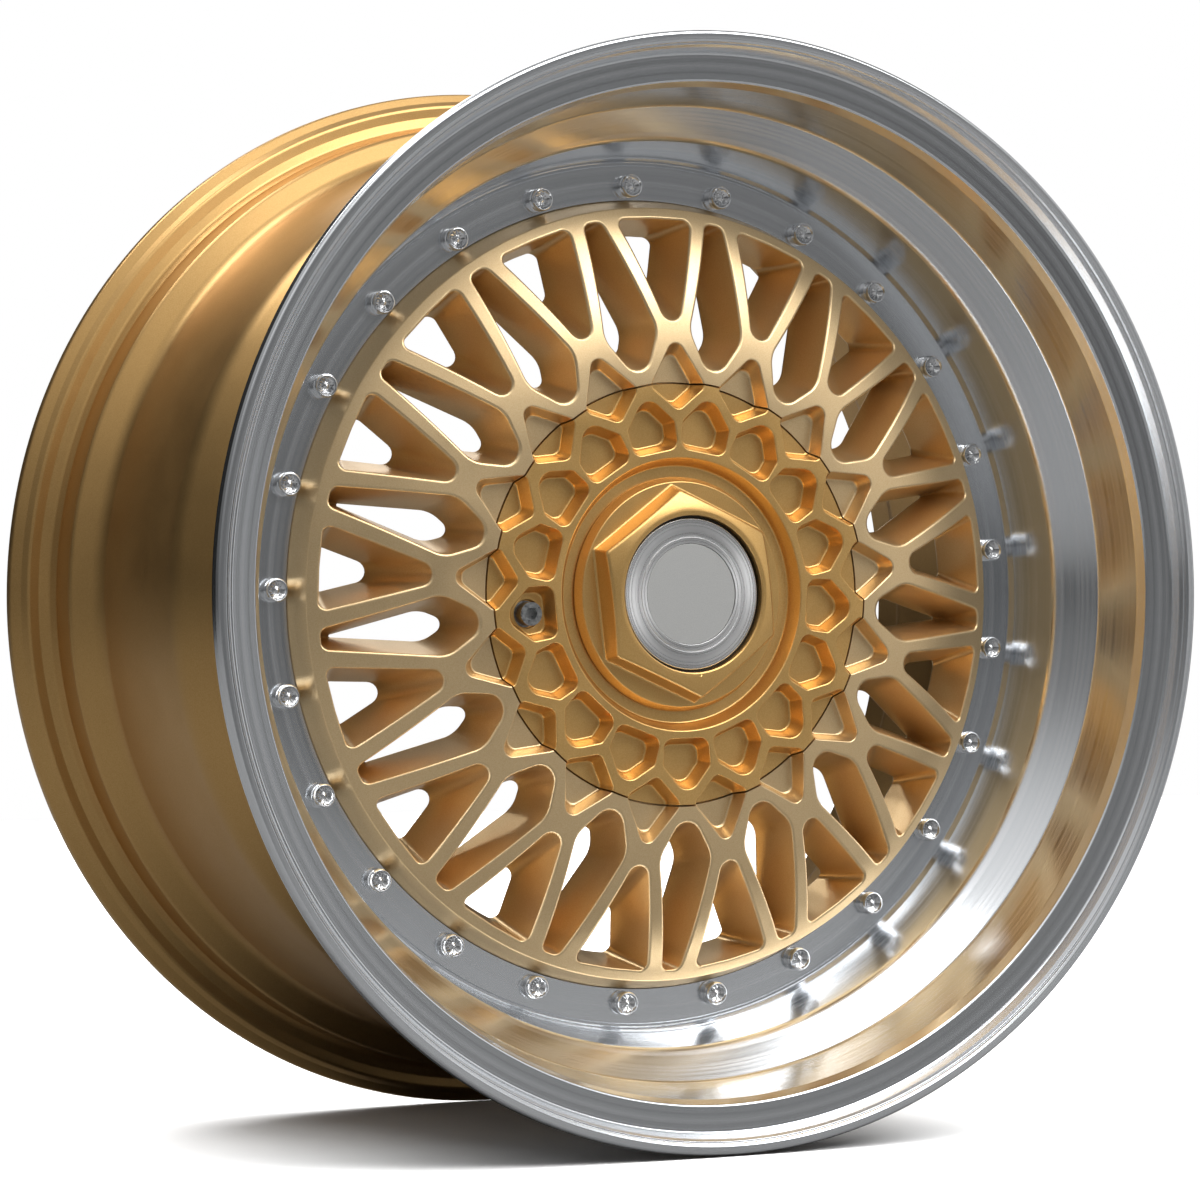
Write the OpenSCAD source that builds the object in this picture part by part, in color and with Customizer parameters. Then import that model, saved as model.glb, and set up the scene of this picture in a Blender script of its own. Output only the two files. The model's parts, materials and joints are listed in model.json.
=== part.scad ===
// Three-piece forged racing wheel rim with a mesh centre, 17 x 8.5 inches.
// The axle runs along Y, the polished outer lip faces -Y, and the origin is the middle of the rim.
// Every piece is drawn on its own axis with "depth" counted back from the lip's foremost edge.

/* [Rim] */
// Radius of both rim flanges
flange_r = 235.6; // [234:0.1:237]
// Width from flange crest to flange crest
rim_w = 241.3; // [236:0.1:260]
// Radius of the bead seats where they meet the flanges
bead_r = 218.3; // [217.5:0.1:219]
// How far the whole pattern is turned up from level
roll = 6.86; // [0:0.01:20]

/* [Split joint] */
// Radius of the circle of assembly bolts
bolt_circle_r = 177.5; // [177:0.1:178]
// Number of assembly bolts
bolt_n = 25; // [20:1:30]
// Depth of the lip's bolting flange, front face
joint_depth = 78.3; // [78:0.1:79]
// Thickness of each bolting flange
joint_t = 6; // [5.5:0.1:6]
// Thickness of the disc's own flange, held between them
disc_flange_t = 8; // [8:0.1:9]

/* [Mesh disc] */
// Number of forked spokes
mesh_n = 17; // [15:1:17]
// Depth of the disc's front face at its flat middle
face_depth = 46.3; // [45.5:0.1:47]
// Radius of the flat middle, where the face starts to fall away
flat_r = 82.5; // [80:0.5:85]
// Radius of the arc in which the face falls away
face_arc_r = 182; // [175:1:195]
// Outer radius of the mesh disc's front edge
disc_r = 167; // [166:0.1:168]
// Radius of the seam round the cover plate
seam_r = 90.8; // [90:0.1:91.5]
// Depth of the pockets below the face
pocket_t = 7.5; // [6:0.1:8]

/* [Hub] */
// Depth of the face that meets the hub
hub_depth = 104; // [103:0.5:106]
// Radius of the disc's centre bore
hub_bore_r = 36.55; // [36.3:0.05:36.8]
// Radius of the bore in the spigot ring
spigot_bore_r = 33.3; // [32:0.05:34]
// Pitch circle diameter of the lug bolts
lug_pcd = 112; // [110:1:114]
// Number of lug bolts
lug_n = 5; // [3:2:5]
// Radius of the lug bolt holes
lug_hole_r = 7.5; // [7:0.1:8]

/* [Cover] */
// Corner radius of the hexagon nut
hex_corner_r = 46; // [45.5:0.1:46.6]
// Depth of the hexagon nut's front rim
hex_rim_depth = 36.5; // [36:0.1:37]
// Radius of the thread that the hexagon nut runs on
thread_r = 36; // [35.8:0.05:36.1]
// Radius of the emblem disc
emblem_r = 32.3; // [31:0.1:32.6]
// Distance from the axle to the cover's screw
screw_pitch_r = 72; // [71:0.5:72.5]

/* [Hidden] */
$fn = 96;
eps = 0.01;
run_gap = 0.05;      // radial clearance of a running fit
part_gap = 0.4;      // clearance round the cover plate
half_w = rim_w / 2;
pitch = 360 / mesh_n;
flange_t = 12.7;     // from a flange's crest to its tyre side
lip_back = joint_depth + joint_t;
disc_back = lip_back + disc_flange_t;
barrel_back = disc_back + joint_t;
split_depth = (lip_back + disc_back) / 2;
well_r = 195.5;      // outside of the bolted joint
nest_r = 187;        // pocket that the disc's flange sits in
opening_r = 171.6;   // hole in both bolting flanges
rear = rim_w;        // depth of the rear flange's crest

pocket_depth = face_depth + pocket_t;
ledge_depth = 58.5;  // ledge that carries the cover plate
ledge_r = 79;
pad_front = 84;      // front of the hub pad
pad_r = 78;

plate_back = ledge_depth - 1;
boss_depth = 47.1;   // top of the nut's round flange
boss_top_r = 48.3;
boss_foot_r = 50.3;
seat_depth = 52.4;   // floor of the recess that the nut sits in
seat_r = 55.2;
seat_mouth_r = 58.2;
plate_bore_r = 40.6;
washer_t = 0.5;
nut_back = seat_depth - washer_t;
skirt_r = plate_bore_r - part_gap;
skirt_back = plate_back;
hex_flat_depth = 39.4;
rim_inner_r = 33.4;  // opening round the emblem
emblem_depth = 39.1;
emblem_t = 1.2;
cup_depth = emblem_depth + emblem_t;
web_depth = 42.5;
web_t = 1.5;
web_hole_r = 26.6;
collar_r = 25.6;
carrier_front = 46;

screw_head_r = 5;
screw_head_h = 6;
screw_head_depth = 49.6;
screw_r = 3;
screw_seat_depth = 56.4;
screw_well_r = 6.2;
screw_boss_r = 6.8;   // boss behind the cover under the screw
screw_tip_depth = 76;
insert_front = 60;
insert_back = 78;
insert_r = 4.5;

bolt_r = 3.5;
bolt_head_r = 6.4;
bolt_head_h = 6;
bolt_washer_t = 1.2;
nut_r = 5;
nut_front = joint_depth - 5.3;
bolt_tip = nut_front + 2.2;

ear_r = 46;          // circle of the carrier's screws
ear_screw_r = 2.5;
ear_head_r = 4.2;
ear_head_h = 3;
carrier_t = 5;
carrier_in_r = spigot_bore_r + 0.3;
lug_seat_r = 12;

valve_angle = 90;    // straight up
valve_depth = 128;
valve_r = 4;
barrel_in_r = 200;
barrel_out_r = 206;
valve_flat_in = barrel_in_r + 0.4;
valve_flat_out = barrel_out_r - 0.8;
valve_tip = 172;     // distance from the axle to the stem's open end
valve_bore_r = 2.5;
core_r = 2.4;
core_end = 184;      // inner end of the core's body
spring_end = 192;    // step that the core's spring rests on
core_top = 176;
pin_r = 0.8;
pin_head_r = 1.4;

polish = [0.80, 0.81, 0.82];
gold = [0.77, 0.62, 0.40];
deep_gold = [0.75, 0.56, 0.26];
steel = [0.60, 0.61, 0.62];
chrome = [0.86, 0.87, 0.88];
black = [0.08, 0.08, 0.08];
brass = [0.78, 0.64, 0.33];

// ---------- outlines ----------

function unit(v) = v / norm(v);

// Signed turn from direction a to direction b, between -180 and 180
function turn(a, b) = let (t = b - a) t > 180 ? t - 360 : (t < -180 ? t + 360 : t);

// Arc of radius r that rounds the corner b between the sides to a and to c
function corner(a, b, c, r, n) =
    let (
        u = unit(a - b),
        v = unit(c - b),
        half = acos(u * v) / 2,
        centre = b + unit(u + v) * r / sin(half),
        start = b + u * r / tan(half) - centre,
        stop = b + v * r / tan(half) - centre,
        from = atan2(start[1], start[0]),
        sweep = turn(from, atan2(stop[1], stop[0]))
    )
    [for (i = [0 : n]) centre + r * [cos(from + sweep * i / n), sin(from + sweep * i / n)]];

// Outline whose corner i is rounded to radii[i]
function rounded(points, radii, n = 5) =
    let (count = len(points))
    [for (i = [0 : count - 1])
        each corner(points[(i + count - 1) % count], points[i], points[(i + 1) % count], radii[i], n)];

// An outline that is given on one side of its axis, from its inner tip to its outer tip
function mirrored(half) =
    concat(half, [for (i = [len(half) - 1 : -1 : 0]) if (half[i][0] > 0) [-half[i][0], half[i][1]]]);

// Long window between two forks: x is across the window, y is the distance from the axle
long_window = rounded(
    mirrored([[0, 91.4], [12.7, 112.9], [4.1, 162.4]]),
    [7, 12, 3.3, 3.3, 12]);

// Short window inside a fork
short_window = rounded(
    [[0, 107.6], [18, 161.6], [0, 162.3], [-18, 161.6]],
    [4.8, 2.8, 60, 2.8]);

// Kite-shaped pocket at the root of each fork, crossed by the seam
kite_pocket = rounded(
    mirrored([[0, 78.85], [13.4, 89.1], [0, 111.1]]),
    [3.5, 2.8, 3.9, 2.8]);

// House-shaped pocket in the cover plate
house_pocket = rounded(
    mirrored([[10.7, 62.0], [11.4, 73.4], [0, 87.2]]),
    [4.2, 2.6, 6.4, 2.6, 4.2]);

// ---------- placing ----------

function at(depth) = half_w - depth;

// Turns the drawing axis (+Z towards the viewer) to the row's frame, where the lip faces -Y
module stand() rotate([90, 0, 0]) rotate([0, 0, roll]) children();

// Solid of revolution from [radius, depth] points
module lathe(points) rotate_extrude($fn = 360) polygon([for (p = points) [p[0], at(p[1])]]);

// Round bar or bore along the axle's direction, between two depths
module rod(r, front, back, sides = 48)
    translate([0, 0, at(back)]) cylinder(h = back - front, r = r, $fn = sides);

module tube(r_out, r_in, front, back)
    difference() {
        rod(r_out, front, back, 180);
        rod(r_in, front - eps, back + eps, 180);
    }

// Copies evenly round the axle at distance r, the first at the given angle
module around(n, r = 0, first = 0)
    for (i = [0 : n - 1]) rotate([0, 0, first + i * 360 / n]) translate([r, 0, 0]) children();

// Cuts an outline through a depth range, once per pitch; outlines point along Y
module cut_pattern(outline, first, front, back)
    for (i = [0 : mesh_n - 1])
        rotate([0, 0, first + i * pitch - 90])
            translate([0, 0, at(back)]) linear_extrude(back - front) polygon(outline);

// Depth of the mesh disc's face at a distance r from the axle
function face_at(r) =
    r <= flat_r ? face_depth : face_depth + face_arc_r - sqrt(pow(face_arc_r, 2) - pow(r - flat_r, 2));

// Points down the face between two radii
function face_points(r_from, r_to, steps) =
    [for (i = [0 : steps]) let (r = r_from + (r_to - r_from) * i / steps) [r, face_at(r)]];

// ---------- rim halves ----------

module outer_lip() color(polish) stand() difference() {
    lathe([
        [opening_r, joint_depth], [188.2, joint_depth], [188.8, joint_depth - 0.6],
        [195, 51.8], [208.3, 36.3], [213.2, 14], [215.1, 8.7], [226.6, 7],
        [228.8, 2.6], [230.4, 0.4], [232, 0], [flange_r - 1.4, 0],
        [flange_r - 0.3, 0.6], [flange_r, 1.8], [flange_r, 5.6], [flange_r - 1.1, 8],
        [231.6, 9.4], [229.9, 11], [229, flange_t], [224.6, flange_t],
        [220.4, 14.4], [bead_r, 18.5], [bead_r - 1.3, 33], [bead_r + 0.3, 35.6],
        [bead_r + 0.1, 38], [216, 41], [201.5, 57.5], [well_r, 68],
        [well_r, split_depth], [nest_r, split_depth], [nest_r, lip_back], [opening_r, lip_back]
    ]);
    around(bolt_n, bolt_circle_r) rod(bolt_r + run_gap, joint_depth - eps, lip_back + eps);
}

module inner_barrel() color(gold) stand() difference() {
    lathe([
        [opening_r, disc_back], [nest_r, disc_back], [nest_r, split_depth], [well_r, split_depth],
        [well_r, 99], [barrel_out_r, 113], [barrel_out_r + 1, 197.5], [bead_r - 1, rear - 34],
        [bead_r, rear - 32], [bead_r - 1.2, rear - 29.6], [bead_r, rear - 18],
        [220.4, rear - 14.4], [224.6, rear - flange_t], [229, rear - flange_t],
        [229.9, rear - 11], [231.6, rear - 9.4], [flange_r - 1.1, rear - 8],
        [flange_r, rear - 5.6], [flange_r, rear - 1.8], [flange_r - 0.6, rear - 0.6],
        [flange_r - 1.8, rear], [231, rear], [228.4, rear - 1.6], [225.4, rear - 5],
        [216, rear - 7.4], [211.5, rear - 13], [210, rear - 32],
        [barrel_in_r + 1, 194], [barrel_in_r, 116], [190.5, 103],
        [189.5, barrel_back], [opening_r, barrel_back]
    ]);
    around(bolt_n, bolt_circle_r) rod(bolt_r + run_gap, disc_back - eps, barrel_back + eps);
    on_valve() {
        translate([0, 0, barrel_in_r - 6]) cylinder(h = valve_flat_in - barrel_in_r + 6, r = 9.5);
        translate([0, 0, valve_flat_out]) cylinder(h = 10, r = 10.5);
        translate([0, 0, barrel_in_r - 6]) cylinder(h = 20, r = valve_r + run_gap);
    }
}

module sealant_bead() color(steel) stand()
    lathe([
        [well_r, split_depth - 4], [well_r + 1.6, split_depth - 3], [well_r + 2.4, split_depth],
        [well_r + 1.6, split_depth + 3], [well_r, split_depth + 4]
    ]);

// ---------- mesh disc ----------

module disc_blank()
    lathe(concat(
        [[hub_bore_r, hub_depth - 1.5], [hub_bore_r, pad_front], [ledge_r, pad_front],
         [ledge_r, ledge_depth], [seam_r + part_gap, ledge_depth]],
        face_points(seam_r + part_gap, disc_r - 1.2, 12),
        [[disc_r, face_at(disc_r) + 0.9], [170.8, joint_depth], [opening_r - 0.4, lip_back],
         [nest_r - 0.5, lip_back], [nest_r - 0.5, disc_back], [160, disc_back],
         [152.9, 86.2], [105.3, 69.5], [93, 67.5], [86, 72],
         [pad_r, 96], [pad_r - 3, hub_depth], [hub_bore_r + 1.5, hub_depth]]));

module centre_disc() color(gold) stand() difference() {
    union() {
        disc_blank();
        at_cover_screw() rod(insert_r + 3, insert_front, pad_front + 1);
    }
    cut_pattern(short_window, 0, 30, disc_back + 10);
    cut_pattern(long_window, pitch / 2, 30, disc_back + 10);
    cut_pattern(kite_pocket, 0, 30, pocket_depth);
    around(bolt_n, bolt_circle_r) rod(bolt_r + run_gap, lip_back - eps, disc_back + eps);
    around(lug_n, lug_pcd / 2) {
        rod(lug_hole_r, pad_front - eps, hub_depth + eps);
        rod(lug_seat_r + run_gap, pad_front - eps, hub_depth - 6);
    }
    at_ears() rod(ear_screw_r + run_gap, pad_front - eps, pad_front + 12);
    at_cover_screw() rod(insert_r + run_gap, insert_front - eps, insert_back);
}

// ---------- split-joint fasteners ----------

module assembly_bolts() color(steel) stand() around(bolt_n, bolt_circle_r) {
    rod(bolt_r, bolt_tip, barrel_back + bolt_washer_t + eps);
    difference() {
        rod(bolt_head_r, barrel_back + bolt_washer_t, barrel_back + bolt_washer_t + bolt_head_h, 12);
        rod(3.4, barrel_back + bolt_washer_t + 2.5, barrel_back + bolt_washer_t + bolt_head_h + eps, 6);
    }
}

module bolt_washers() color(steel) stand() around(bolt_n, bolt_circle_r)
    difference() {
        rod(bolt_head_r + 0.8, barrel_back, barrel_back + bolt_washer_t);
        rod(bolt_r + run_gap, barrel_back - eps, barrel_back + bolt_washer_t + eps);
    }

module spiked_nuts() color(chrome) stand() around(bolt_n, bolt_circle_r)
    rotate_extrude($fn = 48) polygon([
        [0, at(nut_front - 0.6)], [3.4, at(nut_front + 0.7)], [4.1, at(nut_front)],
        [4.7, at(nut_front + 0.2)], [nut_r, at(nut_front + 0.8)], [nut_r, at(nut_front + 2)],
        [nut_r - 0.5, at(nut_front + 2.4)], [nut_r, at(nut_front + 2.8)], [nut_r, at(joint_depth)],
        [bolt_r + run_gap, at(joint_depth)], [bolt_r + run_gap, at(bolt_tip - 0.2)],
        [0, at(bolt_tip - 0.2)]
    ]);

// ---------- hub fittings ----------

module lug_seats() color(steel) stand() around(lug_n, lug_pcd / 2)
    rotate_extrude($fn = 96) polygon([
        [11, at(pad_front - 1)], [lug_seat_r, at(pad_front)], [lug_seat_r, at(hub_depth - 6)],
        [lug_hole_r, at(hub_depth - 6)], [lug_hole_r, at(pad_front + 5.5)]
    ]);

module spigot_ring() color(black) stand()
    lathe([
        [spigot_bore_r, 93.5], [hub_bore_r - 0.8, 93.5], [hub_bore_r - run_gap, 94.3],
        [hub_bore_r - run_gap, hub_depth - 1], [spigot_bore_r, hub_depth - 1]
    ]);

// Places for the carrier's screws, midway between the lug bolts
module at_ears() around(lug_n, ear_r, 180 / lug_n) children();

module threaded_carrier() color(polish) stand() difference() {
    union() {
        rod(thread_r, carrier_front, pad_front, 180);
        rod(42, pad_front - carrier_t, pad_front, 180);
        at_ears() rod(7, pad_front - carrier_t, pad_front);
    }
    rod(carrier_in_r, carrier_front - eps, pad_front + eps, 180);
    at_ears() rod(ear_screw_r + run_gap, pad_front - carrier_t - eps, pad_front + eps);
}

module carrier_screws() color(steel) stand() at_ears() {
    rod(ear_screw_r, pad_front - carrier_t - eps, pad_front + 10);
    difference() {
        rod(ear_head_r, pad_front - carrier_t - ear_head_h, pad_front - carrier_t);
        rod(1.9, pad_front - carrier_t - ear_head_h - eps, pad_front - carrier_t - 1, 6);
    }
}

module at_cover_screw() rotate([0, 0, 180]) translate([screw_pitch_r, 0, 0]) children();

module screw_insert() color(brass) stand() at_cover_screw() difference() {
    rod(insert_r, insert_front, insert_back);
    rod(screw_r + run_gap, insert_front - eps, insert_back - 1);
}

// ---------- cover ----------

module cover_plate() color(deep_gold) stand() difference() {
    union() {
        lathe([
            [plate_bore_r, seat_depth], [seat_r, seat_depth], [seat_mouth_r, boss_depth],
            [flat_r, face_depth], [seam_r - part_gap, face_at(seam_r)],
            [seam_r - part_gap, plate_back], [plate_bore_r, plate_back]
        ]);
        at_cover_screw() rod(screw_boss_r, plate_back - 1, ledge_depth + 1);
    }
    cut_pattern(kite_pocket, 0, 30, pocket_depth);
    cut_pattern(house_pocket, pitch / 2, 30, pocket_depth);
    at_cover_screw() {
        rod(screw_well_r, pocket_depth - 1, screw_seat_depth);
        rod(screw_r + run_gap, screw_seat_depth - eps, ledge_depth + 2);
    }
}

module cover_gasket() color(black) stand() tube(88.5, 82, plate_back, ledge_depth - 0.2);

module screw_washer() color(steel) stand() at_cover_screw() difference() {
    rod(screw_head_r + 0.6, screw_seat_depth - 0.8, screw_seat_depth);
    rod(screw_r + run_gap, screw_seat_depth - 1, screw_seat_depth + eps);
}

module cover_screw() color(steel) stand() at_cover_screw() {
    rod(screw_r, screw_head_depth + screw_head_h - eps, screw_tip_depth);
    difference() {
        rod(screw_head_r, screw_head_depth, screw_head_depth + screw_head_h);
        rod(2.9, screw_head_depth - eps, screw_head_depth + 3, 6);
    }
}

module thrust_washer() color(steel) stand() tube(49.5, plate_bore_r, nut_back, seat_depth);

module hex_nut() color(deep_gold) stand() difference() {
    union() {
        intersection() {
            rotate([0, 0, 30]) rod(hex_corner_r, hex_rim_depth - 1, boss_depth + 1, 6);
            lathe([
                [0, boss_depth + 1], [0, hex_rim_depth], [35.2, hex_rim_depth],
                [hex_corner_r + 1, hex_flat_depth + 0.6], [hex_corner_r + 1, boss_depth + 1]
            ]);
        }
        lathe([
            [0, boss_depth], [boss_top_r, boss_depth], [boss_foot_r, nut_back - 1.2],
            [boss_foot_r, nut_back], [skirt_r, nut_back], [skirt_r, skirt_back], [0, skirt_back]
        ]);
    }
    rod(rim_inner_r + 0.4, hex_rim_depth - 1, web_depth, 180);
    rod(web_hole_r, web_depth - eps, web_depth + web_t + eps, 180);
    rod(thread_r + run_gap, web_depth + web_t, skirt_back + eps, 180);
}

module emblem_cup() color(black) stand() difference() {
    union() {
        rod(rim_inner_r + 0.1, cup_depth, web_depth, 180);
        rod(collar_r, web_depth - eps, 47, 180);
        rod(26.3, 45.5, 46.3, 180);
    }
    rod(23, web_depth, 47 + eps, 180);
}

module emblem_clip() color(steel) stand() difference() {
    tube(29, collar_r + 0.1, web_depth + web_t + 0.1, 45.3);
    rotate([0, 0, -12]) translate([20, 0, at(46)]) cube([12, 5, 3]);
}

module emblem_disc() color(polish) stand() tube(emblem_r, 21.7, emblem_depth, cup_depth);

module emblem_inlay() color(steel) stand() rod(21.6, emblem_depth + 0.3, cup_depth, 180);

// ---------- valve, drawn along +Z from the axle towards the tyre ----------

// Turns +Z to the valve's own radius
module on_valve() rotate([0, 0, valve_angle - roll]) translate([0, 0, at(valve_depth)])
    rotate([0, 90, 0]) children();

module ring(r_out, r_in, low, high)
    difference() {
        translate([0, 0, low]) cylinder(h = high - low, r = r_out);
        translate([0, 0, low - eps]) cylinder(h = high - low + 2 * eps, r = r_in);
    }

module valve_stem() color(brass) stand() on_valve() difference() {
    union() {
        translate([0, 0, valve_tip]) cylinder(h = valve_flat_out + 2 - valve_tip, r = valve_r);
        translate([0, 0, valve_flat_out + 1.5]) cylinder(h = 3, r = 8);
    }
    translate([0, 0, valve_tip - eps]) cylinder(h = spring_end - valve_tip + eps, r = valve_bore_r);
    translate([0, 0, spring_end - eps]) cylinder(h = 30, r = 1.2);
}

module valve_seal() color(black) stand() on_valve()
    ring(8.5, valve_r + run_gap, valve_flat_out, valve_flat_out + 1.5);

module valve_washer() color(steel) stand() on_valve()
    ring(7.5, valve_r + run_gap, valve_flat_in - 1, valve_flat_in);

module valve_nut() color(steel) stand() on_valve() difference() {
    translate([0, 0, valve_flat_in - 6]) cylinder(h = 5, r = 7, $fn = 6);
    translate([0, 0, valve_flat_in - 7]) cylinder(h = 7, r = valve_r + run_gap);
}

module valve_core() color(brass) stand() on_valve()
    ring(core_r, pin_r + run_gap, core_top, core_end);

module valve_spring() color(steel) stand() on_valve()
    ring(core_r - 0.2, pin_r + 0.6, core_end + 1, spring_end);

module valve_pin() color(brass) stand() on_valve() {
    translate([0, 0, core_top - 2]) cylinder(h = core_end - core_top + 2.5, r = pin_r);
    translate([0, 0, core_end]) cylinder(h = 1, r = core_r - 0.3);
    translate([0, 0, core_top - 2.5]) cylinder(h = 0.6, r = pin_head_r);
}

module valve_cap_seal() color(black) stand() on_valve()
    ring(valve_r, valve_bore_r, valve_tip - 1, valve_tip - 0.1);

module valve_cap() color(black) stand() on_valve() difference() {
    union() {
        translate([0, 0, valve_tip - 3.5]) cylinder(h = 12, r = 5.4, $fn = 12);
        translate([0, 0, valve_tip - 4.5]) cylinder(h = 1.5, r1 = 4.2, r2 = 5);
    }
    translate([0, 0, valve_tip - 1]) cylinder(h = 12, r = valve_r + run_gap);
    translate([0, 0, valve_tip - 2.6]) cylinder(h = 3, r = valve_bore_r);
}

outer_lip();
inner_barrel();
centre_disc();
sealant_bead();
assembly_bolts();
bolt_washers();
spiked_nuts();
lug_seats();
spigot_ring();
threaded_carrier();
carrier_screws();
screw_insert();
cover_plate();
cover_gasket();
screw_washer();
cover_screw();
thrust_washer();
hex_nut();
emblem_cup();
emblem_clip();
emblem_disc();
emblem_inlay();
valve_stem();
valve_seal();
valve_washer();
valve_nut();
valve_core();
valve_spring();
valve_pin();
valve_cap_seal();
valve_cap();
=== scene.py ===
import json
import math

import bpy
import numpy as np
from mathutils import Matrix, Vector
from mathutils.geometry import delaunay_2d_cdt


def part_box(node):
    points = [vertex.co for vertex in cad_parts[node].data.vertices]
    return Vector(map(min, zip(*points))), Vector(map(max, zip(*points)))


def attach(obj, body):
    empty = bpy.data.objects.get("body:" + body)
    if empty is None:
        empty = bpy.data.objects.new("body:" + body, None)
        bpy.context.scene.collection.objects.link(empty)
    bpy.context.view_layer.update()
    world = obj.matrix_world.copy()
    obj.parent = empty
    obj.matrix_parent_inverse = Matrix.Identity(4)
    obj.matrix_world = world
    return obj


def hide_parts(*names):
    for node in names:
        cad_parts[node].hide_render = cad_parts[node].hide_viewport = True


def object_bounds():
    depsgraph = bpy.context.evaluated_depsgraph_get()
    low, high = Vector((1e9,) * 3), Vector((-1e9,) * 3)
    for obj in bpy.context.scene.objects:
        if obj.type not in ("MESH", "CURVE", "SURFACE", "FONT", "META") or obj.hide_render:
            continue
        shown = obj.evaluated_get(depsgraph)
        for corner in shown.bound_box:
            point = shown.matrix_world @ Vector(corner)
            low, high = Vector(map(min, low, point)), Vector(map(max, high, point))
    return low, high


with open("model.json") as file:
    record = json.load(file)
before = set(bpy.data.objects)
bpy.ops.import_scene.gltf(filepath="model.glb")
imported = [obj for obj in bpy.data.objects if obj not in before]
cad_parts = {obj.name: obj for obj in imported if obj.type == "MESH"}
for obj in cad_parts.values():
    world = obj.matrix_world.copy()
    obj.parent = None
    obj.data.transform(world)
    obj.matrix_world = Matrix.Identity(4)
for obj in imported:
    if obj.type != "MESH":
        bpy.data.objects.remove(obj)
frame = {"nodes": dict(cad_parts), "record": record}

# A three-piece forged wheel rim. Shapes are drawn in millimetres on the wheel's own axis: x is across,
# y is up, and depth is counted back from the foremost edge of the lip. The axle runs along the row's Y.

cad_low, cad_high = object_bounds()
MM = 0.001
half_width = -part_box("outer_lip")[0].y / MM
rim_width = 2 * half_width
flange_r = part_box("outer_lip")[1].z / MM

# ---------- dimensions, in millimetres ----------

roll = math.radians(6.86)      # how far the whole pattern is turned up from level
mesh_n = 17                    # forked spokes
pitch = 2 * math.pi / mesh_n
bolt_n = 25
bolt_circle_r = 177.5
joint_depth = 78.3             # front of the lip's bolting flange
joint_t = 6.0
disc_flange_t = 8.0
lip_back = joint_depth + joint_t
disc_back = lip_back + disc_flange_t
barrel_back = disc_back + joint_t
split_depth = (lip_back + disc_back) / 2
opening_r = 171.6
nest_r = 187.0
well_r = 195.5
bead_r = 218.3

face_depth = 46.3              # mesh disc's face at its flat middle
flat_r = 82.5                  # where the face starts to fall away
face_arc_r = 182.0
face_edge_r = 165.4            # where the face turns over into the disc's outer wall
seam_r = 90.8
seam_gap = 0.4                 # half of the black line between cover and disc
ledge_depth = 58.5
floor_depth = 53.8             # floors of the kite and house pockets
edge_r = 1.4                   # rounding along the ribs
pocket_edge_r = 0.8            # rounding round the pockets
draft = math.radians(16.7)     # walls lean in towards the back
wall_shift = 5.6               # how far a window's wall leans in over the disc's thickness
back_edge_r = 1.2
floor_edge_r = 1.0
hub_depth = 104.0
pad_front = 84.0
pad_r = 78.0
ledge_r = 79.0
hub_bore_r = 36.55
lug_n = 5
lug_circle_r = 56.0
lug_hole_r = 7.5
lug_seat_r = 12.05
lug_seat_depth = hub_depth - 6

plate_back = ledge_depth - 1
plate_bore_r = 40.6
boss_depth = 47.1
seat_depth = 52.4
screw_circle_r = 72.0
screw_hole_r = 3.2
screw_well_r = 6.2
screw_seat_depth = 56.4
insert_hole_r = 4.55
hex_corner_r = 45.0


# ---------- meshes ----------

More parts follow.
